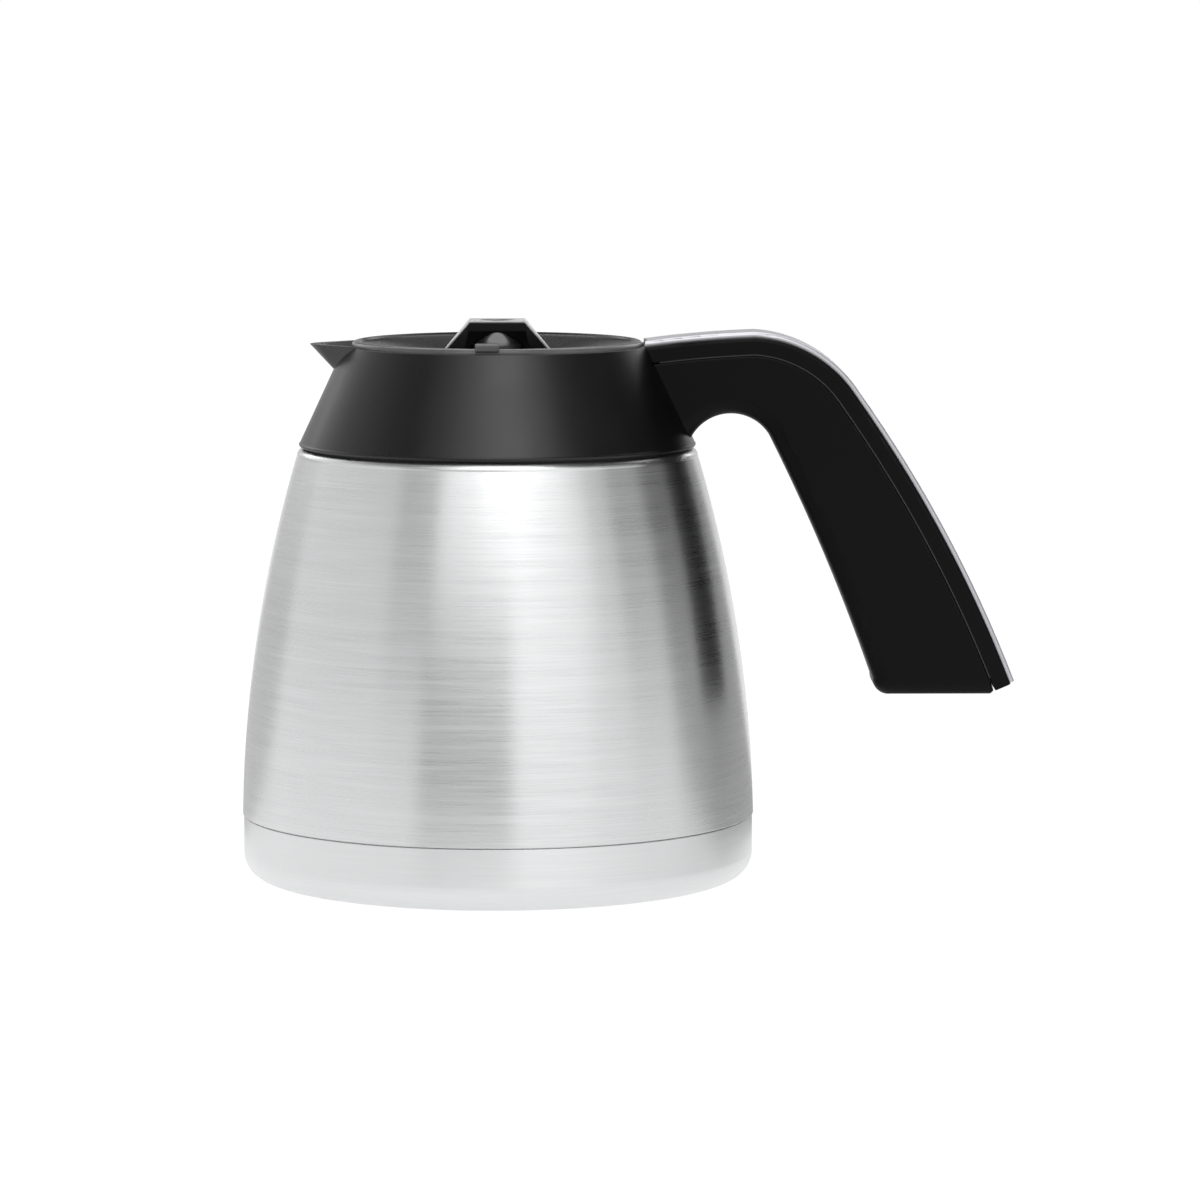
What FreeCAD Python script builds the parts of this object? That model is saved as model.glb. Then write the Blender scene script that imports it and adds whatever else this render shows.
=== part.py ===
import FreeCAD, Part
import math
import os
import re

import Sketcher

Vector = FreeCAD.Vector

# Driving sizes in millimetres, angles in degrees. Heights are above the resting plane, radii from the axis.
SIZES = {
    # steel vessel
    "base_radius": 70.0,
    "seam_height": 17.6,
    "belly_share": 0.2124,
    "shoulder_radius": 54.7,
    "shoulder_height": 117.5,
    "shoulder_round": 2.0,
    "shell_wall": 0.8,
    "neck_lap": 1.4,
    "neck_rise": 16.7,
    "cup_step": 0.3,
    "cup_round": 7.0,
    "cup_wall": 1.2,
    "seam_gap": 0.35,
    "lap_height": 3.0,
    "lap_clearance": 0.25,
    "foot_radius": 50.0,
    "recess_depth": 2.0,
    "plate_thickness": 0.9,
    "plate_inset": 6.0,
    "vacuum_gap": 5.7,
    "neck_gap": 0.6,
    "liner_wall": 0.8,
    "liner_floor": 9.0,
    "liner_round": 12.0,
    "liner_drop": 6.5,
    "liner_slope": 0.6,
    # collar and beak
    "collar_gap": 0.6,
    "shoulder_lip": 0.4,
    "collar_rise": 27.3,
    "collar_taper": 13.1,
    "collar_wall": 2.4,
    "collar_round": 1.0,
    "collar_round_in": 0.3,
    "collar_round_up": 0.2,
    "rim_wall": 1.6,
    "gasket_thickness": 2.0,
    "gasket_width": 3.0,
    "support_height": 4.0,
    "beak_length": 9.4,
    "beak_half_width": 16.5,
    "beak_nose": 6.8,
    "beak_nose_depth": 2.5,
    "beak_drop": 6.4,
    "beak_rise": 0.5,
    "beak_wall": 2.0,
    "beak_nose_wall": 1.0,
    "beak_land": 2.6,
    "beak_floor": 1.0,
    "beak_foot_half": 2.0,
    "beak_foot_depth": 0.6,
    "beak_foot_root": 4.0,
    "beak_foot_run": 1.2,
    "beak_foot_back": 2.4,
    "channel_back": 12.0,
    "channel_over": 0.2,
    # handle: points out and down from the rim, those on the trim strip with the turn of their outward normals
    "root_out": -3.6,
    "root_drop": -1.2,
    "root_turn": 97.0,
    "brow_out": 13.3,
    "brow_drop": -3.1,
    "brow_turn": 95.0,
    "shoulder_out": 28.4,
    "shoulder_drop": -4.0,
    "shoulder_turn": 88.0,
    "bend_out": 44.9,
    "bend_drop": 1.0,
    "bend_turn": 59.5,
    "elbow_out": 57.0,
    "elbow_drop": 12.7,
    "elbow_turn": 34.0,
    "back_out": 79.9,
    "back_drop": 49.4,
    "back_turn": 28.5,
    "tail_out": 99.4,
    "tail_drop": 91.4,
    "tail_turn": 23.0,
    "handle_width": 22.0,
    "strip_thickness": 1.3,
    "strip_width": 16.0,
    "strip_round": 0.9,
    "cover_thickness": 4.5,
    "cover_round": 1.2,
    "parting_gap": 0.4,
    "parting_round": 0.6,
    "tongue_depth": 3.0,
    "tongue_clearance": 0.1,
    "tongue_root": 1.2,
    "grip_wall": 2.6,
    "palm_wall": 5.2,
    "pocket_over": 1.0,
    "tail_step": 1.0,
    "palm_round": 4.5,
    "arch_foot_out": 10.7,
    "arch_foot_drop": 25.4,
    "arch_out": 21.2,
    "arch_drop": 18.2,
    "palm_out": 32.6,
    "palm_drop": 24.6,
    "palm_mid_out": 46.9,
    "palm_mid_drop": 55.2,
    "palm_end_out": 60.7,
    "palm_end_drop": 90.6,
    "heel_out": 65.4,
    "heel_drop": 95.0,
    "heel_curl_across": 0.3,
    "heel_curl_up": 0.25,
    "handle_clear": 0.8,
    "root_solid": 8.5,
    "screw_radius": 1.9,
    "screw_length": 13.0,
    "screw_head_radius": 2.8,
    "screw_head_height": 1.8,
    "screw_clearance": 0.15,
    "hole_over": 1.0,
    "upper_screw_rise": 15.3,
    "lower_screw_rise": 9.3,
    # lid
    "lid_gap": 0.4,
    "lid_rise": 1.4,
    "lid_edge": 3.6,
    "lid_round": 1.2,
    "rim_width": 2.2,
    "dish_radius": 11.0,
    "dish_depth": 5.2,
    "dish_lip": 0.6,
    "cover_wall": 2.0,
    "nib_width": 6.4,
    "nib_shift": -2.6,
    "nib_height": 1.4,
    "nib_length": 4.6,
    "nib_reach": 0.9,
    "nib_clear": 0.9,
    "nib_round": 0.6,
    "grip_rise": 5.2,
    "grip_top_half": 7.4,
    "grip_flare": 0.848,
    "grip_depth": 17.0,
    "grip_bar": 2.3,
    "tunnel_half": 7.7,
    "tunnel_flare": 0.25,
    "grip_back": 1.1,
    "grip_root": 4.0,
    "facet_half": 8.3,
    "facet_lean": 0.7,
    "cap_thickness": 0.4,
    "cap_depth": 13.0,
    "inlet_radius": 4.7,
    # stopper and drum
    "stopper_gap": 0.8,
    "stopper_drop": 14.2,
    "stopper_floor": 2.0,
    "stopper_wall": 1.8,
    "flange_height": 1.6,
    "seat_clearance": 0.05,
    "seal_rise": 3.0,
    "seal_height": 4.0,
    "seal_depth": 1.0,
    "seal_bevel": 1.0,
    "seal_fit": 0.05,
    "drum_clearance": 0.3,
    "drum_wall": 1.5,
    "drum_floor": 1.6,
    "drum_hole": 11.5,
    "bead_rise": 11.4,
    "bead_length": 1.6,
    "bead_size": 0.55,
    "port_share": 0.6,
    "port_radius": 7.0,
    "outlet_half": 12.0,
    "outlet_height": 3.4,
    "boss_radius": 3.4,
    "boss_inset": 2.8,
    "boss_height": 6.0,
    "lid_screw_radius": 1.2,
    "lid_screw_head": 2.2,
    "lid_screw_head_height": 1.4,
    "lid_screw_bite": 1.2,
    # drip valve
    "hub_radius": 5.8,
    "hub_height": 9.0,
    "valve_port": 10.0,
    "rib_width": 2.0,
    "rib_lap": 0.8,
    "rib_drop": 3.0,
    "stem_radius": 2.6,
    "stem_fit": 0.05,
    "disc_radius": 12.5,
    "disc_thickness": 2.5,
    "disc_bevel": 0.6,
    "disc_clearance": 0.05,
    "flange_radius": 8.5,
    "flange_thickness": 2.0,
    "cone_rise": 7.3,
    "cone_tip": 2.0,
    "cone_crest": 0.5,
    "cone_radius": 7.0,
    "cone_hang": 2.0,
    "cone_skirt": 4.0,
    "cone_wall": 1.6,
    "cone_crown": 2.9,
    "cone_clearance": 0.6,
    "stem_socket": 2.0,
    "spring_radius": 4.2,
    "spring_wire": 0.8,
    "spring_pocket": 1.0,
    "spring_turns": 6,
    # how far a cutting outline runs past the piece that it cuts
    "cut_over": 5.0,
}

# Sizes that follow from the driving ones
DERIVED = {
    "belly_radius": "(base_radius + shoulder_radius) / 2 + belly_share * (base_radius - shoulder_radius)",
    "neck_radius": "bore_radius + neck_lap",
    "neck_height": "shoulder_height + neck_rise",
    "liner_shoulder": "shoulder_height - liner_drop",
    "collar_radius": "shoulder_radius - shoulder_lip",
    "collar_height": "shoulder_height + collar_gap + collar_rise",
    "rim_radius": "shoulder_radius - collar_taper",
    "bore_radius": "rim_radius - rim_wall",
    "beak_reach": "rim_radius + beak_length",
    "upper_screw_height": "shoulder_height + collar_gap + upper_screw_rise",
    "lower_screw_height": "shoulder_height + collar_gap + lower_screw_rise",
    "lid_height": "collar_height + lid_rise",
    "dish_height": "lid_height - dish_depth",
    "cover_hole": "cone_radius + cone_clearance",
    "grip_height": "lid_height + grip_rise",
    "stopper_radius": "neck_radius - shell_wall - neck_gap - liner_wall - stopper_gap",
    "stopper_bottom": "neck_height - stopper_drop",
    "seal_bottom": "stopper_bottom + seal_rise",
    "bead_height": "stopper_bottom + bead_rise",
    "port_offset": "port_share * stopper_radius",
    "boss_offset": "stopper_radius - stopper_wall - drum_clearance - drum_wall - boss_inset",
    "cone_top": "dish_height + cone_rise",
    "cone_bottom": "dish_height - cone_hang",
    "stem_top": "cone_top - cone_crown",
    "spring_seat": "stem_top - stem_socket",
}
RAIL = ("root", "brow", "shoulder", "bend", "elbow", "back", "tail")
PALM = ("arch_foot", "arch", "palm", "palm_mid", "palm_end", "heel")
for name in RAIL + PALM:
    DERIVED[name + "_across"] = f"rim_radius + {name}_out"
    DERIVED[name + "_up"] = f"collar_height - {name}_drop"

doc = FreeCAD.newDocument("carafe")
sheet = doc.addObject("Spreadsheet::Sheet", "sizes")
for row, (alias, size) in enumerate(SIZES.items(), start=1):
    sheet.set(f"A{row}", alias)
    sheet.set(f"B{row}", str(size))
    sheet.setAlias(f"B{row}", alias)
doc.recompute()


def driven(text):
    """An expression with its derived sizes written out in driving ones."""
    def written_out(word):
        return f"({driven(DERIVED[word[0]])})" if word[0] in DERIVED else word[0]

    return re.sub(r"[a-z_]+", written_out, text)


def bound(text):
    """An expression as the document's objects write it."""
    def in_sheet(word):
        return "sizes." + word[0] if word[0] in SIZES else word[0]

    return re.sub(r"[a-z_]+", in_sheet, driven(text))


def number(text):
    """The present value of an expression."""
    return float(sheet.evalExpression(driven(text)))


def end_at(sketch, edge, point):
    """Which end of a sketch edge, 1 or 2, lies at a point."""
    return min((1, 2), key=lambda end: (sketch.getPoint(edge, end) - point).Length)


def pin_point(sketch, edge, end, across, up):
    """Holds a point of a sketch at two expressions."""
    for kind, text in (("DistanceX", across), ("DistanceY", up)):
        index = sketch.addConstraint(Sketcher.Constraint(kind, -1, 1, edge, end, number(text)))
        sketch.setExpression(f"Constraints[{index}]", bound(text))


def new_sketch(body, name, role, lift="0"):
    """A sketch on one of the body's origin planes, lifted along its normal."""
    sketch = body.newObject("Sketcher::SketchObject", name)
    plane = next(item for item in body.Origin.OriginFeatures if item.Role == role)
    sketch.AttachmentSupport = [(plane, "")]
    sketch.MapMode = "FlatFace"
    if lift != "0":
        sketch.setExpression("AttachmentOffset.Base.z", bound(lift))
    return sketch


def outline(body, name, role, steps, lift="0"):
    """A closed outline. A step is its end point, and an arc adds a point that it passes."""
    sketch = new_sketch(body, name, role, lift)
    points = [Vector(number(step[0]), number(step[1]), 0) for step in steps]
    start = points[-1]
    for step, end in zip(steps, points):
        if len(step) == 4:
            middle = Vector(number(step[2]), number(step[3]), 0)
            edge = Part.ArcOfCircle(start, middle, end)
        else:
            edge = Part.LineSegment(start, end)
        sketch.addGeometry(edge, False)
        start = end
    for index, (step, end) in enumerate(zip(steps, points)):
        following = (index + 1) % len(steps)
        here = end_at(sketch, index, end)
        there = end_at(sketch, following, end)
        sketch.addConstraint(Sketcher.Constraint("Coincident", index, here, following, there))
        pin_point(sketch, index, here, step[0], step[1])
    for index, step in enumerate(steps):
        if len(step) == 4:
            mark = sketch.addGeometry(Part.Point(Vector(number(step[2]), number(step[3]), 0)), True)
            pin_point(sketch, mark, 1, step[2], step[3])
            sketch.addConstraint(Sketcher.Constraint("PointOnObject", mark, 1, index))
    return sketch


def circle(body, name, role, across, up, radius):
    """A circle on one of the body's origin planes."""
    sketch = new_sketch(body, name, role)
    centre = Vector(number(across), number(up), 0)
    ring = sketch.addGeometry(Part.Circle(centre, Vector(0, 0, 1), number(radius)), False)
    pin_point(sketch, ring, 3, across, up)
    index = sketch.addConstraint(Sketcher.Constraint("Radius", ring, number(radius)))
    sketch.setExpression(f"Constraints[{index}]", bound(radius))
    return sketch


def spin(body, sketch, kind="PartDesign::Revolution"):
    """A full turn of an outline about the jug axis."""
    feature = body.newObject(kind, sketch.Name + "_turn")
    feature.Profile = sketch
    feature.ReferenceAxis = (sketch, ["V_Axis"])
    feature.Angle = 360
    return feature


def turned(label, steps):
    """A body turned about the jug axis."""
    body = doc.addObject("PartDesign::Body", label)
    spin(body, outline(body, label + "_profile", "XZ_Plane", steps))
    return body


def cut_round(body, name, steps):
    """Cuts a turned outline out of a body."""
    return spin(body, outline(body, name, "XZ_Plane", steps), "PartDesign::Groove")


def across_width(body, sketch, width, kind="PartDesign::Pad"):
    """A pad or pocket of an outline, half to each side of its plane."""
    feature = body.newObject(kind, sketch.Name + "_width")
    feature.Profile = sketch
    feature.SideType = "Symmetric"
    feature.setExpression("Length", bound(width))
    return feature


def through(body, sketch):
    """A pocket through the whole body."""
    feature = body.newObject("PartDesign::Pocket", sketch.Name + "_cut")
    feature.Profile = sketch
    feature.SideType = "Symmetric"
    feature.Type = "ThroughAll"
    return feature


def upright(body, sketch, height, kind="PartDesign::Pad"):
    """A pad or pocket of an outline to one side, the way its plane faces."""
    feature = body.newObject(kind, sketch.Name + "_height")
    feature.Profile = sketch
    feature.Reversed = kind == "PartDesign::Pocket"
    feature.setExpression("Length", bound(height))
    return feature


def three_times(body, feature):
    """Repeats a feature three times about the jug axis."""
    pattern = body.newObject("PartDesign::PolarPattern", feature.Name + "_ring")
    pattern.Originals = [feature]
    pattern.Axis = (feature.Profile[0], ["N_Axis"])
    pattern.Angle = 360
    pattern.Occurrences = 3
    body.Tip = pattern
    return pattern


def soften(body, name, radius, wanted, kind="PartDesign::Fillet"):
    """Rounds or bevels the edges of a body's tip for which wanted(edge) is true."""
    doc.recompute()
    tip = body.Tip
    names = [f"Edge{index}" for index, edge in enumerate(tip.Shape.Edges, start=1) if wanted(edge)]
    feature = body.newObject(kind, name)
    feature.Base = (tip, names)
    feature.setExpression("Radius" if kind == "PartDesign::Fillet" else "Size", bound(radius))
    return feature


def midpoint(edge):
    """The point half way along an edge."""
    return edge.valueAt(0.5 * (edge.FirstParameter + edge.LastParameter))


TOUCH = 0.01  # within this distance an edge counts as lying on a line
EIGHTH = "0.292893"  # what an eighth of a turn leaves of the radius of a round
TILTED = "0.4142"  # how far a sloping wall drops for its thickness


def rounded(corner_across, corner_up, radius, across_sign, up_sign, onto_across):
    """A quarter round inside a square corner. The signs point from the corner into the material."""
    far = (f"{corner_across} {across_sign} {radius}", corner_up)
    side = (corner_across, f"{corner_up} {up_sign} {radius}")
    middle = (
        f"{corner_across} {across_sign} {EIGHTH} * {radius}",
        f"{corner_up} {up_sign} {EIGHTH} * {radius}",
    )
    return [side, far + middle] if onto_across else [far, side + middle]


# Steel vessel: an outer wall with shoulder and neck, the cup below its seam, the liner and the plate under it

belly_height = "(seam_height + shoulder_height) / 2"
shell_inside = "(base_radius - shell_wall)"
turned(
    "outer_shell",
    [
        ("base_radius", "seam_height"),
        ("shoulder_radius", "shoulder_height - shoulder_round", "belly_radius", belly_height),
        rounded("shoulder_radius", "shoulder_height", "shoulder_round", "-", "-", True)[1],
        ("neck_radius", "shoulder_height"),
        ("neck_radius", "neck_height"),
        ("neck_radius - shell_wall", "neck_height"),
        ("neck_radius - shell_wall", "shoulder_height - shell_wall"),
        ("shoulder_radius - shoulder_round", "shoulder_height - shell_wall"),
        rounded(
            "(shoulder_radius - shell_wall)",
            "(shoulder_height - shell_wall)",
            "(shoulder_round - shell_wall)",
            "-",
            "-",
            False,
        )[1],
        (shell_inside, "seam_height", "belly_radius - shell_wall", belly_height),
    ],
)

cup_radius = "(base_radius - cup_step)"
cup_inside = "(base_radius - cup_step - cup_wall)"
lap_radius = "base_radius - shell_wall - lap_clearance"
cup_top = "seam_height - seam_gap"
inner_round = "(cup_round - cup_wall)"
turned(
    "base_cup",
    [
        (cup_radius, cup_top),
        *rounded(cup_radius, "0", "cup_round", "-", "+", True),
        ("foot_radius", "0"),
        ("foot_radius - recess_depth", "recess_depth"),
        ("0", "recess_depth"),
        ("0", "recess_depth + cup_wall"),
        ("foot_radius - recess_depth", "recess_depth + cup_wall"),
        ("foot_radius", "cup_wall"),
        *rounded(cup_inside, "cup_wall", inner_round, "-", "+", False),
        (cup_inside, "seam_height + lap_height"),
        (lap_radius, "seam_height + lap_height"),
        (lap_radius, cup_top),
    ],
)

turned(
    "base_plate",
    [
        ("foot_radius - plate_inset", "recess_depth"),
        ("0", "recess_depth"),
        ("0", "recess_depth - plate_thickness"),
        ("foot_radius - plate_inset", "recess_depth - plate_thickness"),
    ],
)

liner_base = "(base_radius - shell_wall - vacuum_gap)"
liner_belly = "(belly_radius - shell_wall - vacuum_gap)"
liner_top = "(shoulder_radius - shell_wall - vacuum_gap)"
liner_neck = "(neck_radius - shell_wall - neck_gap)"
lip_height = "(neck_height + liner_wall)"
mouth_radius = "(neck_radius - shell_wall - neck_gap - liner_wall)"
liner_rise = f"liner_slope * ({liner_top} - {liner_neck})"
lean = f"{TILTED} * liner_wall"
turned(
    "inner_liner",
    [
        ("0", "liner_floor"),
        *rounded(liner_base, "liner_floor", "liner_round", "-", "+", False),
        (liner_top, "liner_shoulder", liner_belly, belly_height),
        (liner_neck, f"liner_shoulder + {liner_rise}"),
        (liner_neck, "neck_height"),
        ("neck_radius", "neck_height"),
        ("neck_radius", lip_height),
        (mouth_radius, lip_height),
        (mouth_radius, f"liner_shoulder - {lean} + {liner_rise}"),
        (f"{liner_top} - liner_wall", f"liner_shoulder - {lean}"),
        (
            f"{liner_base} - liner_wall",
            "liner_floor + liner_round",
            f"{liner_belly} - liner_wall",
            belly_height,
        ),
        (
            f"{liner_base} - liner_round",
            "liner_floor + liner_wall",
            f"{liner_base} - liner_wall - {EIGHTH} * (liner_round - liner_wall)",
            f"liner_floor + liner_wall + {EIGHTH} * (liner_round - liner_wall)",
        ),
        ("0", "liner_floor + liner_wall"),
    ],
)

# Collar: a cone with a beak, its bore for the lid, and the gasket and support ring between it and the neck

collar_bottom = "(shoulder_height + collar_gap)"
ledge_height = f"({lip_height} + gasket_thickness)"
cone_lean = f"((collar_radius - rim_radius) / (collar_height - {collar_bottom}))"


def cone_at(height, inset="0"):
    """Radius of the collar's cone at a height, drawn in by an inset."""
    return f"(rim_radius + (collar_height - ({height})) * {cone_lean} - ({inset}))"


collar = turned(
    "collar",
    [
        ("collar_radius - collar_round", collar_bottom),
        (
            cone_at(f"{collar_bottom} + collar_round"),
            f"{collar_bottom} + collar_round",
            "collar_radius - collar_round_in",
            f"{collar_bottom} + collar_round_up",
        ),
        ("rim_radius", "collar_height"),
        ("0", "collar_height"),
        ("0", collar_bottom),
    ],
)
beak_top = "collar_height + beak_rise"
beak_root = "sqrt(rim_radius ^ 2 - beak_half_width ^ 2)"
beak_foot = f"{cone_at('collar_height - beak_drop')}"


def nosed(name, tip, depth, half, root, root_half, inner, lift):
    """A section of the beak: a round nose, straight flanks and a back edge inside the collar."""
    return outline(
        collar,
        name,
        "XY_Plane",
        [
            (root, f"-({root_half})"),
            (inner, "0"),
            (root, root_half),
            (f"{tip} + {depth}", half),
            (f"{tip} + {depth}", f"-({half})", tip, "0"),
        ],
        lift,
    )


def beak(name, kind, inside):
    """The beak from its foot on the cone up to its lip, its outside (inside 0) or its channel (inside 1)."""
    land = f"{inside} * beak_land"
    lip = nosed(
        name + "_lip",
        f"-beak_reach + {land}",
        "beak_nose_depth",
        f"beak_nose - {inside} * beak_nose_wall",
        f"-{beak_root}",
        f"beak_half_width - {inside} * beak_wall",
        f"-{beak_root} + {inside} * channel_back",
        f"{beak_top} + {inside} * channel_over",
    )
    foot = nosed(
        name + "_foot",
        f"-{beak_foot} + {land}",
        "beak_foot_depth",
        "beak_foot_half",
        f"-{beak_foot} + {land} + beak_foot_run",
        "beak_foot_root",
        f"-{beak_foot} + {land} + beak_foot_back + {inside} * beak_wall",
        f"collar_height - beak_drop + {inside} * beak_floor",
    )
    loft = collar.newObject(kind, name)
    loft.Profile = lip
    loft.Sections = [foot]
    loft.Ruled = True
    return loft


beak("beak", "PartDesign::AdditiveLoft", 0)
cut_round(
    collar,
    "collar_bore",
    [
        ("bore_radius", "collar_height + cut_over"),
        ("bore_radius", ledge_height),
        (cone_at(ledge_height, "collar_wall"), ledge_height),
        (cone_at(collar_bottom, "collar_wall"), collar_bottom),
        (cone_at(collar_bottom, "collar_wall"), f"{collar_bottom} - cut_over"),
        ("0", f"{collar_bottom} - cut_over"),
        ("0", "collar_height + cut_over"),
    ],
)
beak("channel", "PartDesign::SubtractiveLoft", 1)
turned(
    "neck_gasket",
    [
        (mouth_radius, lip_height),
        (f"{mouth_radius} + gasket_width", lip_height),
        (f"{mouth_radius} + gasket_width", ledge_height),
        (mouth_radius, ledge_height),
    ],
)

support_top = f"{collar_bottom} + support_height"
turned(
    "collar_support_ring",
    [
        ("neck_radius", "shoulder_height"),
        (cone_at(collar_bottom, "collar_wall"), "shoulder_height"),
        (cone_at(collar_bottom, "collar_wall"), collar_bottom),
        (cone_at(support_top, "collar_wall"), support_top),
        ("neck_radius", support_top),
    ],
)

# Handle: the grip moulding, the cover along its back and the trim strip, all set off from one outer line

def rail_point(name, depth):
    """A point of the handle's outer line, set in by a depth along its normal."""
    return (
        f"{name}_across - ({depth}) * cos({name}_turn)",
        f"{name}_up - ({depth}) * sin({name}_turn)",
    )


def rail_steps(depth, first=0):
    """The outer line down to the tail as arcs over every other point, set in by a depth."""
    points = [rail_point(name, depth) for name in RAIL[first:]]
    arcs = [points[index + 1] + points[index] for index in range(1, len(points), 2)]
    return [points[0], *arcs]


def rail_back(depth, first=0):
    """The same line from the tail back up."""
    points = [rail_point(name, depth) for name in reversed(RAIL[first:])]
    arcs = [points[index + 1] + points[index] for index in range(1, len(points), 2)]
    return [points[0], *arcs]


def off_collar(body, name):
    """Cuts the root of a handle piece to the cone of the collar and clear of the lid."""
    cut_round(
        body,
        name,
        [
            (cone_at(collar_bottom), collar_bottom),
            ("rim_radius", "collar_height"),
            ("bore_radius + handle_clear", "collar_height"),
            ("bore_radius + handle_clear", "collar_height + cut_over"),
            ("0", "collar_height + cut_over"),
            ("0", collar_bottom),
        ],
    )


strip_depth = "strip_thickness"
cover_depth = "(strip_thickness + cover_thickness)"
parting_depth = "(strip_thickness + cover_thickness + parting_gap)"


def drawn(steps):
    """The lines and arcs of an open outline as one wire."""
    points = [Vector(number(step[0]), number(step[1]), 0) for step in steps]
    edges = []
    for start, step, end in zip(points, steps[1:], points[1:]):
        if len(step) == 4:
            middle = Vector(number(step[2]), number(step[3]), 0)
            edges.append(Part.Arc(start, middle, end).toShape())
        else:
            edges.append(Part.LineSegment(start, end).toShape())
    return Part.Wire(edges)


def edges_along(steps, width):
    """Picks the edges of the two flat sides of a handle piece that follow an outline."""
    line = drawn(steps)
    half = number(width) / 2

    def wanted(edge):
        if edge.BoundBox.YLength > TOUCH or abs(abs(edge.BoundBox.YMax) - half) > TOUCH:
            return False
        middle = midpoint(edge)
        return line.distToShape(Part.Vertex(middle.x, middle.z, 0))[0] < TOUCH

    return wanted


strip = doc.addObject("PartDesign::Body", "handle_trim_strip")
strip_line = outline(strip, "strip_line", "XZ_Plane", rail_steps("0") + rail_back(strip_depth))
across_width(strip, strip_line, "strip_width")
off_collar(strip, "strip_root")
soften(strip, "strip_crown", "strip_round", edges_along(rail_steps("0"), "strip_width"))

cover = doc.addObject("PartDesign::Body", "handle_back_cover")
cover_line = outline(cover, "cover_line", "XZ_Plane", rail_steps(strip_depth) + rail_back(cover_depth))
across_width(cover, cover_line, "handle_width")
soften(cover, "cover_edge", "cover_round", edges_along(rail_steps(strip_depth), "handle_width"))
off_collar(cover, "cover_root")
TONGUE = ("bend", "elbow", "back")
tongue_line = outline(
    cover,
    "tongue_line",
    "XZ_Plane",
    [
        *[rail_point(name, f"{cover_depth} - tongue_root") for name in TONGUE],
        *[rail_point(name, f"{parting_depth} + tongue_depth") for name in reversed(TONGUE)],
    ],
)
across_width(cover, tongue_line, "handle_width - 2 * grip_wall - 2 * tongue_clearance")


palm_line = [
    ("heel_across", "heel_up"),
    (
        "palm_end_across",
        "palm_end_up",
        "palm_end_across + heel_curl_across * (heel_across - palm_end_across)",
        "heel_up + heel_curl_up * (palm_end_up - heel_up)",
    ),
    ("palm_across", "palm_up", "palm_mid_across", "palm_mid_up"),
    ("arch_foot_across", "arch_foot_up", "arch_across", "arch_up"),
]
grip = doc.addObject("PartDesign::Body", "handle_grip")
grip_line = outline(
    grip,
    "grip_line",
    "XZ_Plane",
    [
        *rail_steps(parting_depth),
        (f"tail_across - {parting_depth} * cos(tail_turn) - tail_step", "heel_up"),
        *palm_line,
        ("root_across", "arch_foot_up"),
    ],
)
across_width(grip, grip_line, "handle_width")
off_collar(grip, "grip_root")
soften(grip, "palm_edges", "palm_round", edges_along(palm_line, "handle_width"))
soften(grip, "parting_edge", "parting_round", edges_along(rail_steps(parting_depth), "handle_width"))
channel_line = outline(
    grip,
    "channel_line",
    "XZ_Plane",
    [
        *rail_steps(f"{parting_depth} - pocket_over", 2),
        ("heel_across + palm_wall", "heel_up + palm_wall"),
        ("palm_across + palm_wall", "palm_up", "palm_mid_across + palm_wall", "palm_mid_up"),
        ("arch_across + root_solid", "arch_up + palm_wall"),
    ],
)
across_width(grip, channel_line, "handle_width - 2 * grip_wall", "PartDesign::Pocket")

# Handle screws: square to the cone, heads inside the collar

tilt = f"atan({cone_lean})"
wall_through = f"(collar_wall * cos({tilt}))"


def along_cone(height, out, aside):
    """A point reached from the cone at a height, out along its normal and aside up its slope."""
    return (
        f"{cone_at(height)} + ({out}) * cos({tilt}) - ({aside}) * sin({tilt})",
        f"{height} + ({out}) * sin({tilt}) + ({aside}) * cos({tilt})",
    )


def screw_hole(body, name, height, radius, start, end):
    """A round hole square to the cone."""
    sketch = outline(
        body,
        name,
        "XZ_Plane",
        [
            along_cone(height, start, "0"),
            along_cone(height, end, "0"),
            along_cone(height, end, radius),
            along_cone(height, start, radius),
        ],
    )
    ends = [along_cone(height, start, "0"), along_cone(height, end, "0")]
    first, last = [Vector(number(across), number(up), 0) for across, up in ends]
    line = sketch.addGeometry(Part.LineSegment(first, last), True)
    for which, point in enumerate(ends, start=1):
        pin_point(sketch, line, which, *point)
    feature = body.newObject("PartDesign::Groove", name + "_turn")
    feature.Profile = sketch
    feature.ReferenceAxis = (sketch, ["Axis0"])
    feature.Angle = 360


def rod(name, radius, height, base, lean="0"):
    """A round bar from a base point, upright or leaning over towards the handle."""
    bar = doc.addObject("Part::Cylinder", name)
    bar.setExpression("Radius", bound(radius))
    bar.setExpression("Height", bound(height))
    bar.Placement = FreeCAD.Placement(Vector(), FreeCAD.Rotation(Vector(0, 1, 0), number(lean)))
    for letter, text in zip("xyz", base):
        bar.setExpression(f"Placement.Base.{letter}", bound(text))
    if lean != "0":
        bar.setExpression("Placement.Rotation.Angle", bound(lean))
    return bar


def screw(name, parts):
    """A screw of a head and a shaft."""
    fuse = doc.addObject("Part::Fuse", name)
    fuse.Base, fuse.Tool = parts
    return fuse


def group(label, screws):
    """Like fasteners as one node."""
    compound = doc.addObject("Part::Compound", label)
    compound.Links = screws


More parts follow.
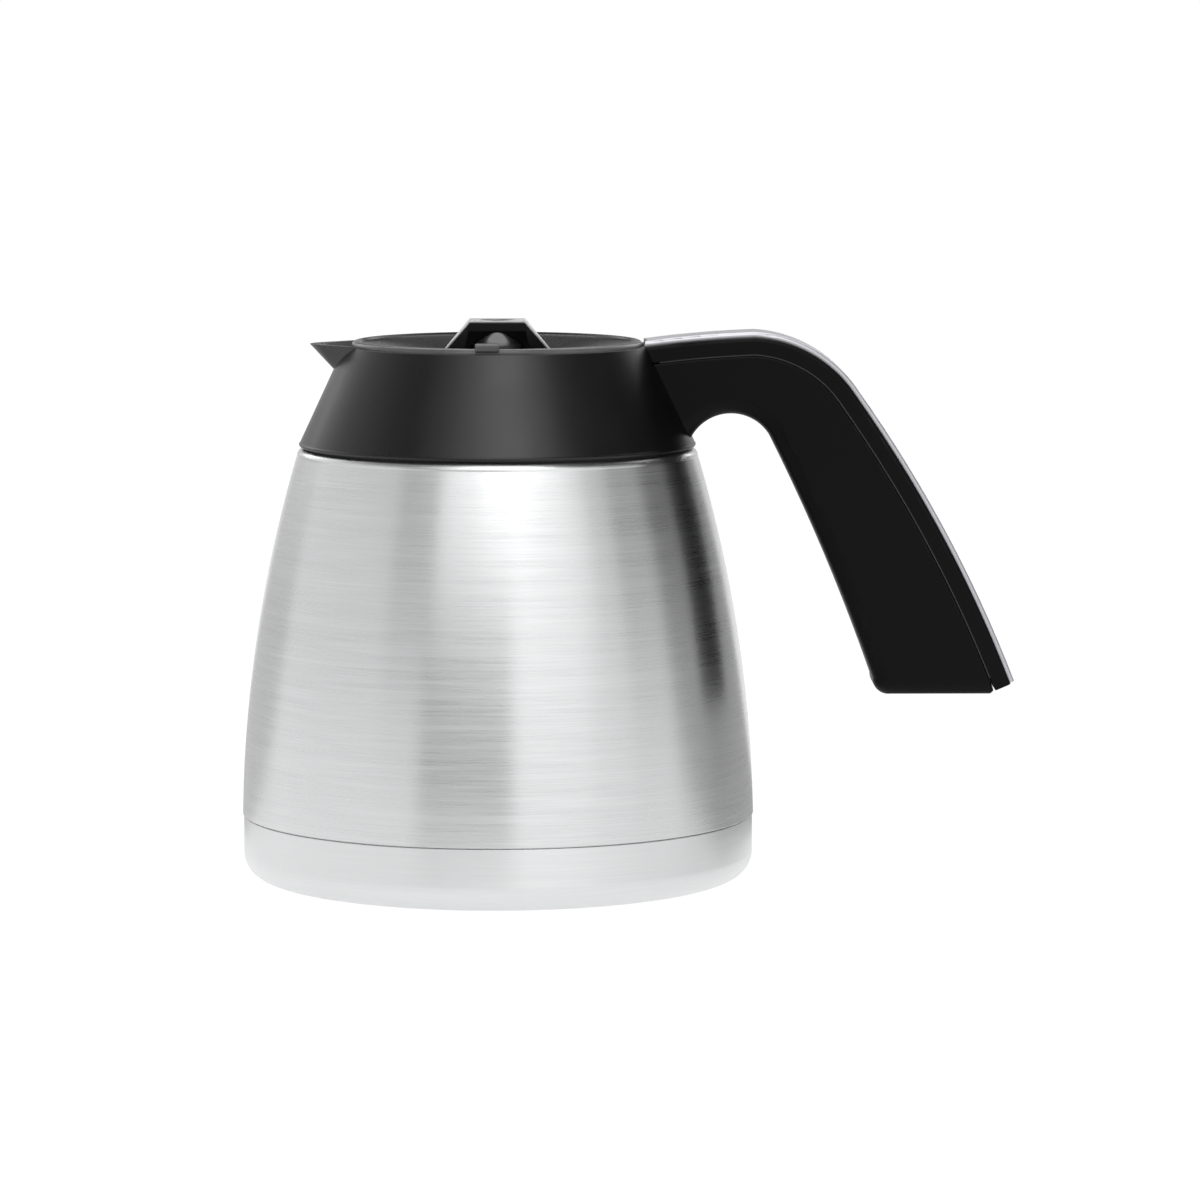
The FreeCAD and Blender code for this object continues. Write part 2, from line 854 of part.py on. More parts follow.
head_seat = f"-({wall_through} + screw_clearance)"
handle_screws = []
for place in ("upper", "lower"):
    height = f"{place}_screw_height"
    hole_radius = "screw_radius + screw_clearance"
    screw_hole(collar, f"{place}_collar_hole", height, hole_radius, "-cut_over", "hole_over")
    bite = f"screw_length - {wall_through}"
    screw_hole(grip, f"{place}_grip_hole", height, "screw_radius", "-cut_over", bite)
    head = along_cone(height, f"{head_seat} - screw_head_height", "0")
    shaft = along_cone(height, head_seat, "0")
    lean_over = f"atan(1 / {cone_lean})"
    bars = (
        rod(f"{place}_head", "screw_head_radius", "screw_head_height", (head[0], "0", head[1]), lean_over),
        rod(f"{place}_shaft", "screw_radius", "screw_length", (shaft[0], "0", shaft[1]), lean_over),
    )
    handle_screws.append(screw(f"{place}_screw", bars))
group("handle_screws", handle_screws)

# Lid: stopper with port and valve spider, the drum that turns in it, the dished cover, its bridge and cap

flange_bottom = f"({ledge_height} + seat_clearance)"
flange_top = f"({ledge_height} + seat_clearance + flange_height)"
lid_radius = "(bore_radius - lid_gap)"
stopper_inside = "(stopper_radius - stopper_wall)"
seal_seat = "(stopper_radius - seal_depth)"
floor_top = "(stopper_bottom + stopper_floor)"
bead_top = "(bead_height + bead_length)"
stopper = turned(
    "stopper",
    [
        ("valve_port", "stopper_bottom"),
        ("stopper_radius", "stopper_bottom"),
        ("stopper_radius", "seal_bottom"),
        (seal_seat, "seal_bottom"),
        (seal_seat, "seal_bottom + seal_height"),
        ("stopper_radius", "seal_bottom + seal_height"),
        ("stopper_radius", flange_bottom),
        (lid_radius, flange_bottom),
        (lid_radius, flange_top),
        (stopper_inside, flange_top),
        (stopper_inside, f"{bead_top} + drum_clearance"),
        (f"{stopper_inside} + bead_size", f"{bead_top} + drum_clearance"),
        (f"{stopper_inside} + bead_size", "bead_height - drum_clearance"),
        (stopper_inside, "bead_height - drum_clearance"),
        (stopper_inside, floor_top),
        ("valve_port", floor_top),
    ],
)
rib = upright(
    stopper,
    outline(
        stopper,
        "rib_line",
        "XY_Plane",
        [
            ("hub_radius - rib_lap", "-rib_width / 2"),
            ("valve_port + rib_lap", "-rib_width / 2"),
            ("valve_port + rib_lap", "rib_width / 2"),
            ("hub_radius - rib_lap", "rib_width / 2"),
        ],
        "stopper_bottom",
    ),
    "hub_height - rib_drop",
)
three_times(stopper, rib)
spin(
    stopper,
    outline(
        stopper,
        "hub_line",
        "XZ_Plane",
        [
            ("stem_radius + stem_fit", "stopper_bottom"),
            ("hub_radius", "stopper_bottom"),
            ("hub_radius", "stopper_bottom + hub_height"),
            ("stem_radius + stem_fit", "stopper_bottom + hub_height"),
        ],
    ),
)
through(stopper, circle(stopper, "stopper_port", "XY_Plane", "-port_offset", "0", "port_radius"))

turned(
    "stopper_gasket",
    [
        (seal_seat, "seal_bottom"),
        (f"{mouth_radius} - seal_fit", "seal_bottom + seal_bevel"),
        (f"{mouth_radius} - seal_fit", "seal_bottom + seal_height - seal_bevel"),
        (seal_seat, "seal_bottom + seal_height"),
    ],
)

cover_under = "(lid_height - lid_edge)"
drum_radius = f"({stopper_inside} - drum_clearance)"
drum_bottom = f"({floor_top} + drum_clearance)"
drum = turned(
    "pour_drum",
    [
        ("drum_hole", drum_bottom),
        (drum_radius, drum_bottom),
        (drum_radius, "bead_height"),
        (f"{drum_radius} + bead_size", "bead_height"),
        (f"{drum_radius} + bead_size", bead_top),
        (drum_radius, bead_top),
        (drum_radius, cover_under),
        (f"{drum_radius} - drum_wall", cover_under),
        (f"{drum_radius} - drum_wall", f"{drum_bottom} + drum_floor"),
        ("drum_hole", f"{drum_bottom} + drum_floor"),
    ],
)
through(drum, circle(drum, "drum_port", "XY_Plane", "0", "-port_offset", "port_radius"))
outlet_bottom = f"{flange_top} + drum_clearance"
upright(
    drum,
    outline(
        drum,
        "outlet_line",
        "XZ_Plane",
        [
            ("-outlet_half", outlet_bottom),
            ("outlet_half", outlet_bottom),
            ("outlet_half", f"{outlet_bottom} + outlet_height"),
            ("-outlet_half", f"{outlet_bottom} + outlet_height"),
        ],
    ),
    "stopper_radius",
    "PartDesign::Pocket",
)


def ring_of_three(body, name, radius, bottom, height, kind):
    """Three round bosses or holes on the circle of the lid screws."""
    sketch = circle(body, name, "XY_Plane", "0", "boss_offset", radius)
    sketch.setExpression("AttachmentOffset.Base.z", bound(bottom))
    three_times(body, upright(body, sketch, height, kind))


boss_bottom = f"({cover_under} - boss_height)"
ring_of_three(drum, "boss", "boss_radius", boss_bottom, "boss_height", "PartDesign::Pad")
ring_of_three(drum, "boss_hole", "lid_screw_radius", boss_bottom, "boss_height", "PartDesign::Pocket")

lid_screws = []
for place, turn in enumerate((90, 210, 330)):
    spot = (f"boss_offset * cos({turn})", f"boss_offset * sin({turn})")
    head = (*spot, f"{boss_bottom} - lid_screw_head_height")
    shaft = (*spot, boss_bottom)
    bars = (
        rod(f"lid_screw_head_{place}", "lid_screw_head", "lid_screw_head_height", head),
        rod(f"lid_screw_shaft_{place}", "lid_screw_radius", "boss_height + lid_screw_bite", shaft),
    )
    lid_screws.append(screw(f"lid_screw_{place}", bars))
group("lid_screws", lid_screws)

dish_edge = ("bore_radius - lid_gap - rim_width - dish_lip", "lid_height - dish_lip")
lid_cover = turned(
    "lid_cover",
    [
        (lid_radius, cover_under),
        *rounded(lid_radius, "lid_height", "lid_round", "-", "-", True),
        (f"{lid_radius} - rim_width", "lid_height"),
        dish_edge,
        ("dish_radius", "dish_height"),
        ("cover_hole", "dish_height"),
        ("cover_hole", "dish_height - cover_wall"),
        ("dish_radius", "dish_height - cover_wall"),
        ("boss_offset - boss_radius", cover_under),
    ],
)
nib_front = f"(-{lid_radius} - nib_reach)"
upright(
    lid_cover,
    outline(
        lid_cover,
        "nib_line",
        "XY_Plane",
        [
            ("nib_shift - nib_width / 2", nib_front),
            ("nib_shift + nib_width / 2", nib_front),
            ("nib_shift + nib_width / 2", f"{nib_front} + nib_length"),
            ("nib_shift - nib_width / 2", f"{nib_front} + nib_length"),
        ],
        "collar_height + nib_clear",
    ),
    "lid_height + nib_height - collar_height - nib_clear",
)
nib_top = number("lid_height + nib_height")
soften(lid_cover, "nib_edges", "nib_round", lambda edge: edge.BoundBox.ZMin > nib_top - TOUCH)
ring_of_three(lid_cover, "bite", "lid_screw_radius", cover_under, "lid_screw_bite", "PartDesign::Pocket")


def off_dish(body, name):
    """Cuts the feet of a grip piece to the dish of the cover."""
    cut_round(
        body,
        name,
        [
            ("0", "dish_height"),
            ("dish_radius", "dish_height"),
            dish_edge,
            (dish_edge[0], "dish_height - cut_over"),
            ("0", "dish_height - cut_over"),
        ],
    )


def grip_half(height, outset="0"):
    """Half width of the bridge at a height, set out square to its slope."""
    return f"grip_top_half + grip_flare * (grip_height - ({height})) + ({outset}) * sqrt(1 + grip_flare ^ 2)"


def facets(body, name, depth):
    """Slants the four upright corners of a grip piece, beginning where its slopes start."""
    end = f"({grip_half(grip_foot, 'cap_thickness')})"
    for corner, (across, along) in enumerate(((1, 1), (1, -1), (-1, 1), (-1, -1))):
        face = f"{along} * {depth} / 2"
        slant = outline(
            body,
            f"{name}_facet_{corner}",
            "XY_Plane",
            [
                (f"{across} * facet_half", face),
                (f"{across} * {end}", face),
                (f"{across} * {end}", f"{face} - {along} * facet_lean * ({end} - facet_half)"),
            ],
        )
        through(body, slant)


grip_foot = "(dish_height - grip_root)"
tunnel_top = "(grip_height - grip_bar)"
tunnel_foot = f"tunnel_half + tunnel_flare * (grip_height - grip_bar - {grip_foot})"
bridge = doc.addObject("PartDesign::Body", "lid_grip")
bridge_line = outline(
    bridge,
    "bridge_line",
    "XZ_Plane",
    [
        (f"-({grip_half(grip_foot)})", grip_foot),
        ("-grip_top_half", "grip_height"),
        ("grip_top_half", "grip_height"),
        (grip_half(grip_foot), grip_foot),
    ],
)
across_width(bridge, bridge_line, "grip_depth")
tunnel_line = outline(
    bridge,
    "tunnel_line",
    "XZ_Plane",
    [
        (tunnel_foot, grip_foot),
        ("tunnel_half", tunnel_top),
        ("-tunnel_half", tunnel_top),
        (f"-({tunnel_foot})", grip_foot),
    ],
    "grip_back - grip_depth / 2",
)
upright(bridge, tunnel_line, "grip_depth", "PartDesign::Pocket")
facets(bridge, "bridge", "grip_depth")
off_dish(bridge, "bridge_feet")
through(bridge, circle(bridge, "bridge_inlet", "XY_Plane", "0", "0", "inlet_radius"))

cap_top = "(grip_height + cap_thickness)"
cap = doc.addObject("PartDesign::Body", "grip_cap")
cap_line = outline(
    cap,
    "cap_line",
    "XZ_Plane",
    [
        (f"-({grip_half(grip_foot, 'cap_thickness')})", grip_foot),
        (f"-({grip_half(cap_top, 'cap_thickness')})", cap_top),
        (grip_half(cap_top, "cap_thickness"), cap_top),
        (grip_half(grip_foot, "cap_thickness"), grip_foot),
        (grip_half(grip_foot), grip_foot),
        ("grip_top_half", "grip_height"),
        ("-grip_top_half", "grip_height"),
        (f"-({grip_half(grip_foot)})", grip_foot),
    ],
)
across_width(cap, cap_line, "cap_depth")
facets(cap, "cap", "cap_depth")
off_dish(cap, "cap_feet")
through(cap, circle(cap, "cap_inlet", "XY_Plane", "0", "0", "inlet_radius"))

# Drip valve: conical head, stem with its flange, sealing disc and spring

disc_top = "(stopper_bottom - disc_clearance)"
disc_bottom = "(stopper_bottom - disc_clearance - disc_thickness)"
hub_top = "(stopper_bottom + hub_height)"
spring_hollow = "(spring_radius + spring_wire)"
turned(
    "valve_cone",
    [
        ("0", "cone_top"),
        ("cone_tip", "cone_top - cone_crest", "cone_tip / 2", "cone_top - cone_crest / 4"),
        ("cone_radius", "dish_height + cone_skirt"),
        ("cone_radius", "cone_bottom"),
        ("cone_radius - cone_wall", "cone_bottom"),
        ("cone_radius - cone_wall", "dish_height"),
        (spring_hollow, "spring_seat - spring_pocket"),
        (spring_hollow, "spring_seat"),
        ("stem_radius", "spring_seat"),
        ("stem_radius", "stem_top"),
        ("0", "stem_top"),
    ],
)
turned(
    "valve_stem",
    [
        ("0", "stem_top"),
        ("stem_radius", "stem_top"),
        ("stem_radius", disc_bottom),
        ("flange_radius", disc_bottom),
        ("flange_radius", f"{disc_bottom} - flange_thickness"),
        ("0", f"{disc_bottom} - flange_thickness"),
    ],
)
turned(
    "valve_disc",
    [
        ("stem_radius", disc_top),
        ("disc_radius - disc_bevel", disc_top),
        ("disc_radius", f"{disc_top} - disc_bevel"),
        ("disc_radius", disc_bottom),
        ("stem_radius", disc_bottom),
    ],
)


def arc_from(start, way, end):
    """The arc that leaves a point in a direction and ends at another."""
    chord = end - start
    straight = chord / chord.Length
    side = way - straight * way.dot(straight)
    bulge = 0.5 * chord.Length * math.tan(0.5 * way.getAngle(chord))
    middle = start + chord * 0.5 + side / side.Length * bulge
    return Part.Arc(start, middle, end).toShape()


def coil(radius, bottom, top, turns, wire):
    """A coil of round wire and the line of its middle, each quarter turn two arcs that meet smoothly."""
    rise = (top - bottom) / (2 * math.pi * turns)
    stations = []
    for quarter in range(4 * turns + 1):
        angle = 0.5 * math.pi * quarter
        place = Vector(radius * math.cos(angle), radius * math.sin(angle), bottom + rise * angle)
        way = Vector(-radius * math.sin(angle), radius * math.cos(angle), rise).normalize()
        stations.append((place, way))
    arcs = []
    for (start, leave), (end, arrive) in zip(stations, stations[1:]):
        span = end - start
        both = leave + arrive
        spread = 2 * (1 - leave.dot(arrive))
        reach = (math.sqrt(span.dot(both) ** 2 + spread * span.dot(span)) - span.dot(both)) / spread
        joint = (start + leave * reach + end - arrive * reach) * 0.5
        arcs.append(arc_from(start, leave, joint))
        arcs.append(arc_from(end, arrive * -1, joint))
    path = Part.Wire(Part.__sortEdges__(arcs))
    section = Part.Wire(Part.makeCircle(0.5 * wire, stations[0][0], stations[0][1]))
    return path.makePipeShell([section], True, False), path


def least_gap(path, turns, wire):
    """The least gap of a coil's wire to itself, on points of its middle line half a turn or more apart."""
    each_turn = 48
    points = path.discretize(Number=each_turn * turns + 1)
    apart = each_turn // 2
    gaps = [(far - near).Length for index, near in enumerate(points) for far in points[index + apart :]]
    return min(gaps) - wire


spring = doc.addObject("Part::Feature", "valve_spring")
spring_bottom = number(f"{hub_top} + spring_wire / 2")
spring_top = number("spring_seat - spring_wire / 2")
turns = int(number("spring_turns"))
wire = number("spring_wire")
spring.Shape, spring_line = coil(number("spring_radius"), spring_bottom, spring_top, turns, wire)
print("least gap of the spring to itself", round(least_gap(spring_line, turns, wire), 2))

doc.recompute()
parts = [item for item in doc.Objects if item.TypeId in ("PartDesign::Body", "Part::Compound")] + [spring]
for item in doc.Objects:
    if "Invalid" in item.State or "Error" in item.State:
        raise RuntimeError(f"{item.Name} did not build")
os.makedirs("parts", exist_ok=True)
for part in parts:
    if part.Shape.isNull() or not part.Shape.isValid():
        raise RuntimeError(f"{part.Label} has no valid shape")
    part.Shape.exportStep(f"parts/{part.Label}.step")
    print(part.Label, len(part.Shape.Solids), round(part.Shape.Volume))
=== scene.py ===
import math

import bpy
from mathutils import Matrix, Vector


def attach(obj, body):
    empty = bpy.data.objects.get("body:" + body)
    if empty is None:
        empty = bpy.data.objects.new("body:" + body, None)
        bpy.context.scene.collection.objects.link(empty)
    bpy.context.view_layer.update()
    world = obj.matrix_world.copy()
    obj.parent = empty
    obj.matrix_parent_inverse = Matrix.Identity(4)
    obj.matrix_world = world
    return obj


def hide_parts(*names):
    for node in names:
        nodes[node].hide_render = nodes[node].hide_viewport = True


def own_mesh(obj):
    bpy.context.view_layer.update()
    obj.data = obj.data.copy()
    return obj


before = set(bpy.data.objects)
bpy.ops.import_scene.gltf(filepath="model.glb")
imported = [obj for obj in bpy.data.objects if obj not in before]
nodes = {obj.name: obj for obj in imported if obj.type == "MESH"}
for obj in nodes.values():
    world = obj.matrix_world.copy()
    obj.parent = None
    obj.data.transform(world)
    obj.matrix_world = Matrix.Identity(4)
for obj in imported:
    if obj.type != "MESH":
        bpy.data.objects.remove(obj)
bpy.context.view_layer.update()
scene = bpy.context.scene

# A thermal carafe: brushed steel body, satin black collar, handle and lid, silver trim.
# Lengths are in metres where no comment says otherwise.
MM = 0.001

# Camera: where the photograph was taken from, with turns in radians and the sensor in millimetres
CAMERA_PLACE = (0.0043155, -1.516314, 0.241677)
CAMERA_PITCH = 0.109105
CAMERA_YAW = 0.0156
PHOTO_PIXELS = 1200
FOCAL_PIXELS = 5572.38
SENSOR_WIDTH = 36.0
NEAREST = 0.05
FARTHEST = 100.0

# Studio: cards on a dome round the object as (turn from, to, rise from, to, level).
# A turn of 0 degrees is the camera's side and 90 the handle's; a rise of 90 is overhead.
DOME_RADIUS = 2.4
DOME_STEP = 5.0
CARDS = {
    "left_back": (-160.0, -120.0, -10.0, 14.0, 0.62),
    "left_low": (-120.0, -34.0, -10.0, 11.0, 0.84),
    "left_wall": (-120.0, -56.0, 11.0, 36.0, 0.80),
    "left_gap": (-56.0, -33.0, 11.0, 36.0, 0.54),
    "left_top": (-120.0, -52.0, 36.0, 80.0, 0.28),
    "camera_side": (-34.0, 6.0, -10.0, 13.5, 0.32),
    "front_box": (-33.0, 50.0, 14.5, 36.0, 1.22),
    "front_top": (-30.0, 42.0, 36.0, 74.0, 1.90),
    "front_top_left": (-52.0, -30.0, 36.0, 74.0, 0.90),
    "front_top_right": (42.0, 58.0, 36.0, 74.0, 0.30),
    "front_right": (8.0, 42.0, -10.0, 14.5, 1.12),
    "right_fill": (50.0, 64.0, 14.5, 36.0, 0.80),
    "right_fill_low": (42.0, 64.0, -10.0, 14.5, 0.92),
    "right_low": (64.0, 88.0, -10.0, 5.0, 0.80),
    "right_mid": (64.0, 88.0, 5.0, 13.0, 0.76),
    "right_wall": (64.0, 88.0, 13.0, 36.0, 0.38),
    "side_low": (88.0, 112.0, -10.0, 5.0, 0.58),
    "side_mid": (88.0, 112.0, 5.0, 13.0, 0.36),
    "side_wall": (88.0, 120.0, 13.0, 36.0, 0.08),
    "right_back_low": (112.0, 150.0, -10.0, 5.0, 0.32),
    "right_back": (112.0, 150.0, 5.0, 14.0, 0.14),
    "right_top": (58.0, 120.0, 36.0, 80.0, 0.03),
    "back_wall": (150.0, 200.0, -10.0, 14.0, 0.72),
    "back_high": (158.0, 202.0, 14.0, 38.0, 0.10),
    "back_left_high": (-158.0, -138.0, 14.0, 34.0, 1.80),
    "back_right_high": (138.0, 158.0, 14.0, 34.0, 2.00),
    "back_top": (140.0, 220.0, 42.0, 84.0, 2.80),
}
# Dark stretches of the table as (turn from, to, reach from, to, level)
TABLE_HEIGHT = 0.002
TABLES = {
    "camera_table": (-34.0, 6.0, 0.26, 2.3, 0.36),
    "side_table": (86.0, 150.0, 0.11, 2.3, 0.42),
    "left_table": (-160.0, -118.0, 0.11, 2.3, 0.62),
}
AMBIENT = 0.55
FLOOR_SIZE = 60.0
FLOOR_GLOW = 0.78
FLOOR_ALBEDO = 0.45
# The one lamp, aimed at the object's middle
LAMP_PLACE = (0.15, -1.5, 1.7)
LAMP_SIZE = 0.9
LAMP_LEVEL = 1.6
LAMP_AIM_HEIGHT = 0.08

# Finishes: stretches of the grains in turns per metre, depths of their relief in metres
BRUSH_FINE = (40.0, 40.0, 4200.0)
BRUSH_BROAD = (14.0, 14.0, 420.0)
BRUSH_FINE_SHARE = 0.7
BRUSH_DEPTH = 0.008 * MM
BRUSH_DIRECTION = 0.25
BRUSH_ANISOTROPY = 0.72
DRAWN_GRAIN = (260.0, 260.0, 900.0)
DRAWN_DEPTH = 0.01 * MM
MOULD_GRAIN = (2600.0, 2600.0, 2600.0)
SMUDGES = (38.0, 38.0, 38.0)
FLAKES = (5200.0, 5200.0, 5200.0)
FLAKE_DEPTH = 0.004 * MM
PAINT_CLOUDS = (60.0, 60.0, 60.0)
PAINT_METAL = 0.55
BLOOM = (90.0, 90.0, 90.0)
BLOOM_DEPTH = 0.02 * MM
RUBBER_ROUGH = (0.5, 0.68)
RUBBER_CLEAR = 0.25
RUBBER_REACH = 1.5 * MM
# How far roughness strays either way, and how dark the darkest grain is
BRUSH_STRAY = 0.05
DRAWN_STRAY = 0.06
MOULD_STRAY = 0.05
PAINT_STRAY = 0.04
DRAWN_DARK = 0.88
PAINT_DARK = 0.94
RUBBER_DARK = 0.8
# Radii of softened edges, the turn of the normal on an edge painted lighter for wear and painted
# highlight, and the least of that lightening
BRUSH_EDGE = 0.35 * MM
DRAWN_EDGE = 0.2 * MM
MOULD_EDGE = 0.35 * MM
PAINT_EDGE = 0.2 * MM
RUBBER_EDGE = 0.3 * MM
EDGE_TURN = (0.02, 0.22)
LEAST_WEAR_AND_HIGHLIGHT = 0.35


class Tree:
    """A material's nodes, with short ways to add and join them."""

    def __init__(self, name):
        self.material = bpy.data.materials.new(name)
        self.material.use_nodes = True
        self.nodes = self.material.node_tree.nodes
        self.links = self.material.node_tree.links
        self.shader = self.nodes["Principled BSDF"]

    def add(self, kind, inputs=(), **settings):
        made = self.nodes.new("ShaderNode" + kind)
        for key, value in settings.items():
            setattr(made, key, value)
        for key, value in dict(inputs).items():
            self.feed(value, made.inputs[key])
        return made

    def feed(self, value, socket):
        """Joins a node's output to a socket, or writes a plain value on it."""
        if isinstance(value, bpy.types.NodeSocket):
            self.links.new(value, socket)
        else:
            socket.default_value = value

    def set(self, **values):
        for key, value in values.items():
            self.feed(value, self.shader.inputs[key.replace("_", " ")])

    def math(self, operation, first, second=0.0):
        return self.add("Math", {0: first, 1: second}, operation=operation).outputs[0]

    def place(self, stretch):
        """Coordinates on the object in metres, stretched by three factors."""
        where = self.add("TexCoord").outputs["Object"]
        return self.add("Mapping", {"Vector": where, "Scale": stretch}).outputs["Vector"]

    def noise(self, stretch, detail=3.0, rough=0.5):
        return self.add(
            "TexNoise",
            {"Vector": self.place(stretch), "Scale": 1.0, "Detail": detail, "Roughness": rough},
        ).outputs["Fac"]

    def spread(self, value, low, high, first=0.3, last=0.7):
        """A noise value mapped to a range of plain numbers."""
        return self.add(
            "MapRange",
            {"Value": value, "From Min": first, "From Max": last, "To Min": low, "To Max": high},
        ).outputs["Result"]

    def tint(self, factor, dark, light):
        mixed = self.add("Mix", data_type="RGBA")
        self.feed(factor, mixed.inputs["Factor"])
        self.feed((*dark, 1.0), mixed.inputs[6])
        self.feed((*light, 1.0), mixed.inputs[7])
        return mixed.outputs[2]

    def bump(self, height, depth, normal=None):
        made = self.add("Bump", {"Height": height, "Distance": depth, "Strength": 1.0})
        if normal is not None:
            self.feed(normal, made.inputs["Normal"])
        return made.outputs["Normal"]

    def soft_edge(self, radius):
        return self.add("Bevel", {"Radius": radius}, samples=4).outputs["Normal"]

    def edge_mask(self, soft):
        """One on an edge, nought on an open face."""
        flat = self.add("NewGeometry").outputs["Normal"]
        same = self.add("VectorMath", {0: soft, 1: flat}, operation="DOT_PRODUCT").outputs["Value"]
        turned = self.math("SUBTRACT", 1.0, same)
        return self.spread(turned, 0.0, 1.0, *EDGE_TURN)

    def out_from_axis(self, start, end):
        """Nought inside a first radius and one outside a second."""
        flat = self.place((1.0, 1.0, 0.0))
        radius = self.add("VectorMath", {0: flat}, operation="LENGTH").outputs["Value"]
        return self.spread(radius, 0.0, 1.0, start, end)


def brushed_steel(name, colour, rough, contrast):
    """Steel with fine rings brushed round the axis."""
    tree = Tree(name)
    fine = tree.noise(BRUSH_FINE, detail=4.0, rough=0.65)
    broad = tree.noise(BRUSH_BROAD, detail=2.0)
    fine_part = tree.math("MULTIPLY", fine, BRUSH_FINE_SHARE)
    broad_part = tree.math("MULTIPLY", broad, 1.0 - BRUSH_FINE_SHARE)
    both = tree.math("ADD", fine_part, broad_part)
    shade = tree.spread(both, 0.0, 1.0)
    dark = tuple(c * (1.0 - contrast) for c in colour)
    light = tuple(min(1.0, c * (1.0 + contrast)) for c in colour)
    tangent = tree.add("Tangent", direction_type="RADIAL", axis="Z").outputs["Tangent"]
    tree.set(
        Base_Color=tree.tint(shade, dark, light),
        Metallic=1.0,
        Roughness=tree.spread(both, rough - BRUSH_STRAY, rough + BRUSH_STRAY),
        Anisotropic=BRUSH_ANISOTROPY,
        Anisotropic_Rotation=BRUSH_DIRECTION,
        Tangent=tangent,
        Normal=tree.bump(fine, BRUSH_DEPTH, tree.soft_edge(BRUSH_EDGE)),
    )
    return tree.material


def plain_steel(name, colour, rough):
    """Drawn or turned steel with a faint grain."""
    tree = Tree(name)
    grain = tree.noise(DRAWN_GRAIN, detail=4.0)
    dark = tuple(c * DRAWN_DARK for c in colour)
    tree.set(
        Base_Color=tree.tint(tree.spread(grain, 0.0, 1.0), dark, colour),
        Metallic=1.0,
        Roughness=tree.spread(grain, rough - DRAWN_STRAY, rough + DRAWN_STRAY),
        Normal=tree.bump(grain, DRAWN_DEPTH, tree.soft_edge(DRAWN_EDGE)),
    )
    return tree.material


def moulded(name, colour, wear_and_highlight, rough, gloss, grain_depth, rim=None):
    """Moulded plastic: fine grain, smudged gloss, and edges painted a little brighter for wear and
    painted highlight, or a rim painted brighter as a painted highlight.
    """
    tree = Tree(name)
    soft = tree.soft_edge(MOULD_EDGE)
    grain = tree.noise(MOULD_GRAIN, detail=2.0)
    smudge = tree.noise(SMUDGES, detail=3.0)
    # Lighter paint on edges (partly wear, partly painted highlight) or on a rim (painted highlight)
    wear_and_highlight_place = tree.out_from_axis(*rim) if rim else tree.edge_mask(soft)
    wear_and_highlight_share = tree.math("MULTIPLY", wear_and_highlight_place, tree.spread(smudge, LEAST_WEAR_AND_HIGHLIGHT, 1.0))
    tree.set(
        Base_Color=tree.tint(wear_and_highlight_share, colour, wear_and_highlight),
        Roughness=tree.spread(smudge, rough - MOULD_STRAY, rough + MOULD_STRAY),
        Specular_IOR_Level=gloss,
        Normal=tree.bump(grain, grain_depth, soft),
    )
    return tree.material


def satin_metal_paint(name, colour, rough):
    """Silver paint: fine flake and a satin face."""
    tree = Tree(name)
    flake = tree.noise(FLAKES, detail=1.0)
    cloud = tree.noise(PAINT_CLOUDS, detail=2.0)
    dark = tuple(c * PAINT_DARK for c in colour)
    tree.set(
        Base_Color=tree.tint(tree.spread(flake, 0.0, 1.0), dark, colour),
        Metallic=PAINT_METAL,
        Roughness=tree.spread(cloud, rough - PAINT_STRAY, rough + PAINT_STRAY),
        Normal=tree.bump(flake, FLAKE_DEPTH, tree.soft_edge(PAINT_EDGE)),
    )
    return tree.material


def rubber(name, colour):
    """Silicone: matt, a little see-through, with a dusty bloom."""
    tree = Tree(name)
    bloom = tree.noise(BLOOM, detail=3.0)
    dark = tuple(c * RUBBER_DARK for c in colour)
    tree.set(
        Base_Color=tree.tint(tree.spread(bloom, 0.0, 1.0), dark, colour),
        Roughness=tree.spread(bloom, *RUBBER_ROUGH),
        Subsurface_Weight=RUBBER_CLEAR,
        Subsurface_Scale=RUBBER_REACH,
        Normal=tree.bump(bloom, BLOOM_DEPTH, tree.soft_edge(RUBBER_EDGE)),
    )
    return tree.material


STEEL = (0.70, 0.705, 0.71)
CUP_STEEL = (0.73, 0.735, 0.74)
# Radii between which the lid is painted lighter: a painted highlight on its rim
LID_RIM_HIGHLIGHT = (37.4 * MM, 38.8 * MM)


def grey(level, blue=0.0):
    """A grey, with a trace more or less blue in it."""
    return (level, level, level + blue)


# Plastics: colour, lighter colour on edges or a rim (wear and painted highlight), roughness, gloss and
# depth of grain
COLLAR = (grey(0.0015, -0.0001), grey(0.02, 0.001), 0.31, 0.45, 0.006 * MM)
HANDLE = (grey(0.003), grey(0.03, 0.001), 0.42, 0.11, 0.012 * MM)
# The lid's second colour is a painted highlight on its rim
LID = (grey(0.003), grey(0.21), 0.27, 0.45, 0.006 * MM)
GRIP = (grey(0.002), grey(0.03, 0.001), 0.34, 0.25, 0.008 * MM)
CONE = (grey(0.075, 0.002), grey(0.11, 0.002), 0.34, 0.5, 0.008 * MM)
INNER = (grey(0.018, 0.001), grey(0.04, 0.001), 0.46, 0.5, 0.014 * MM)
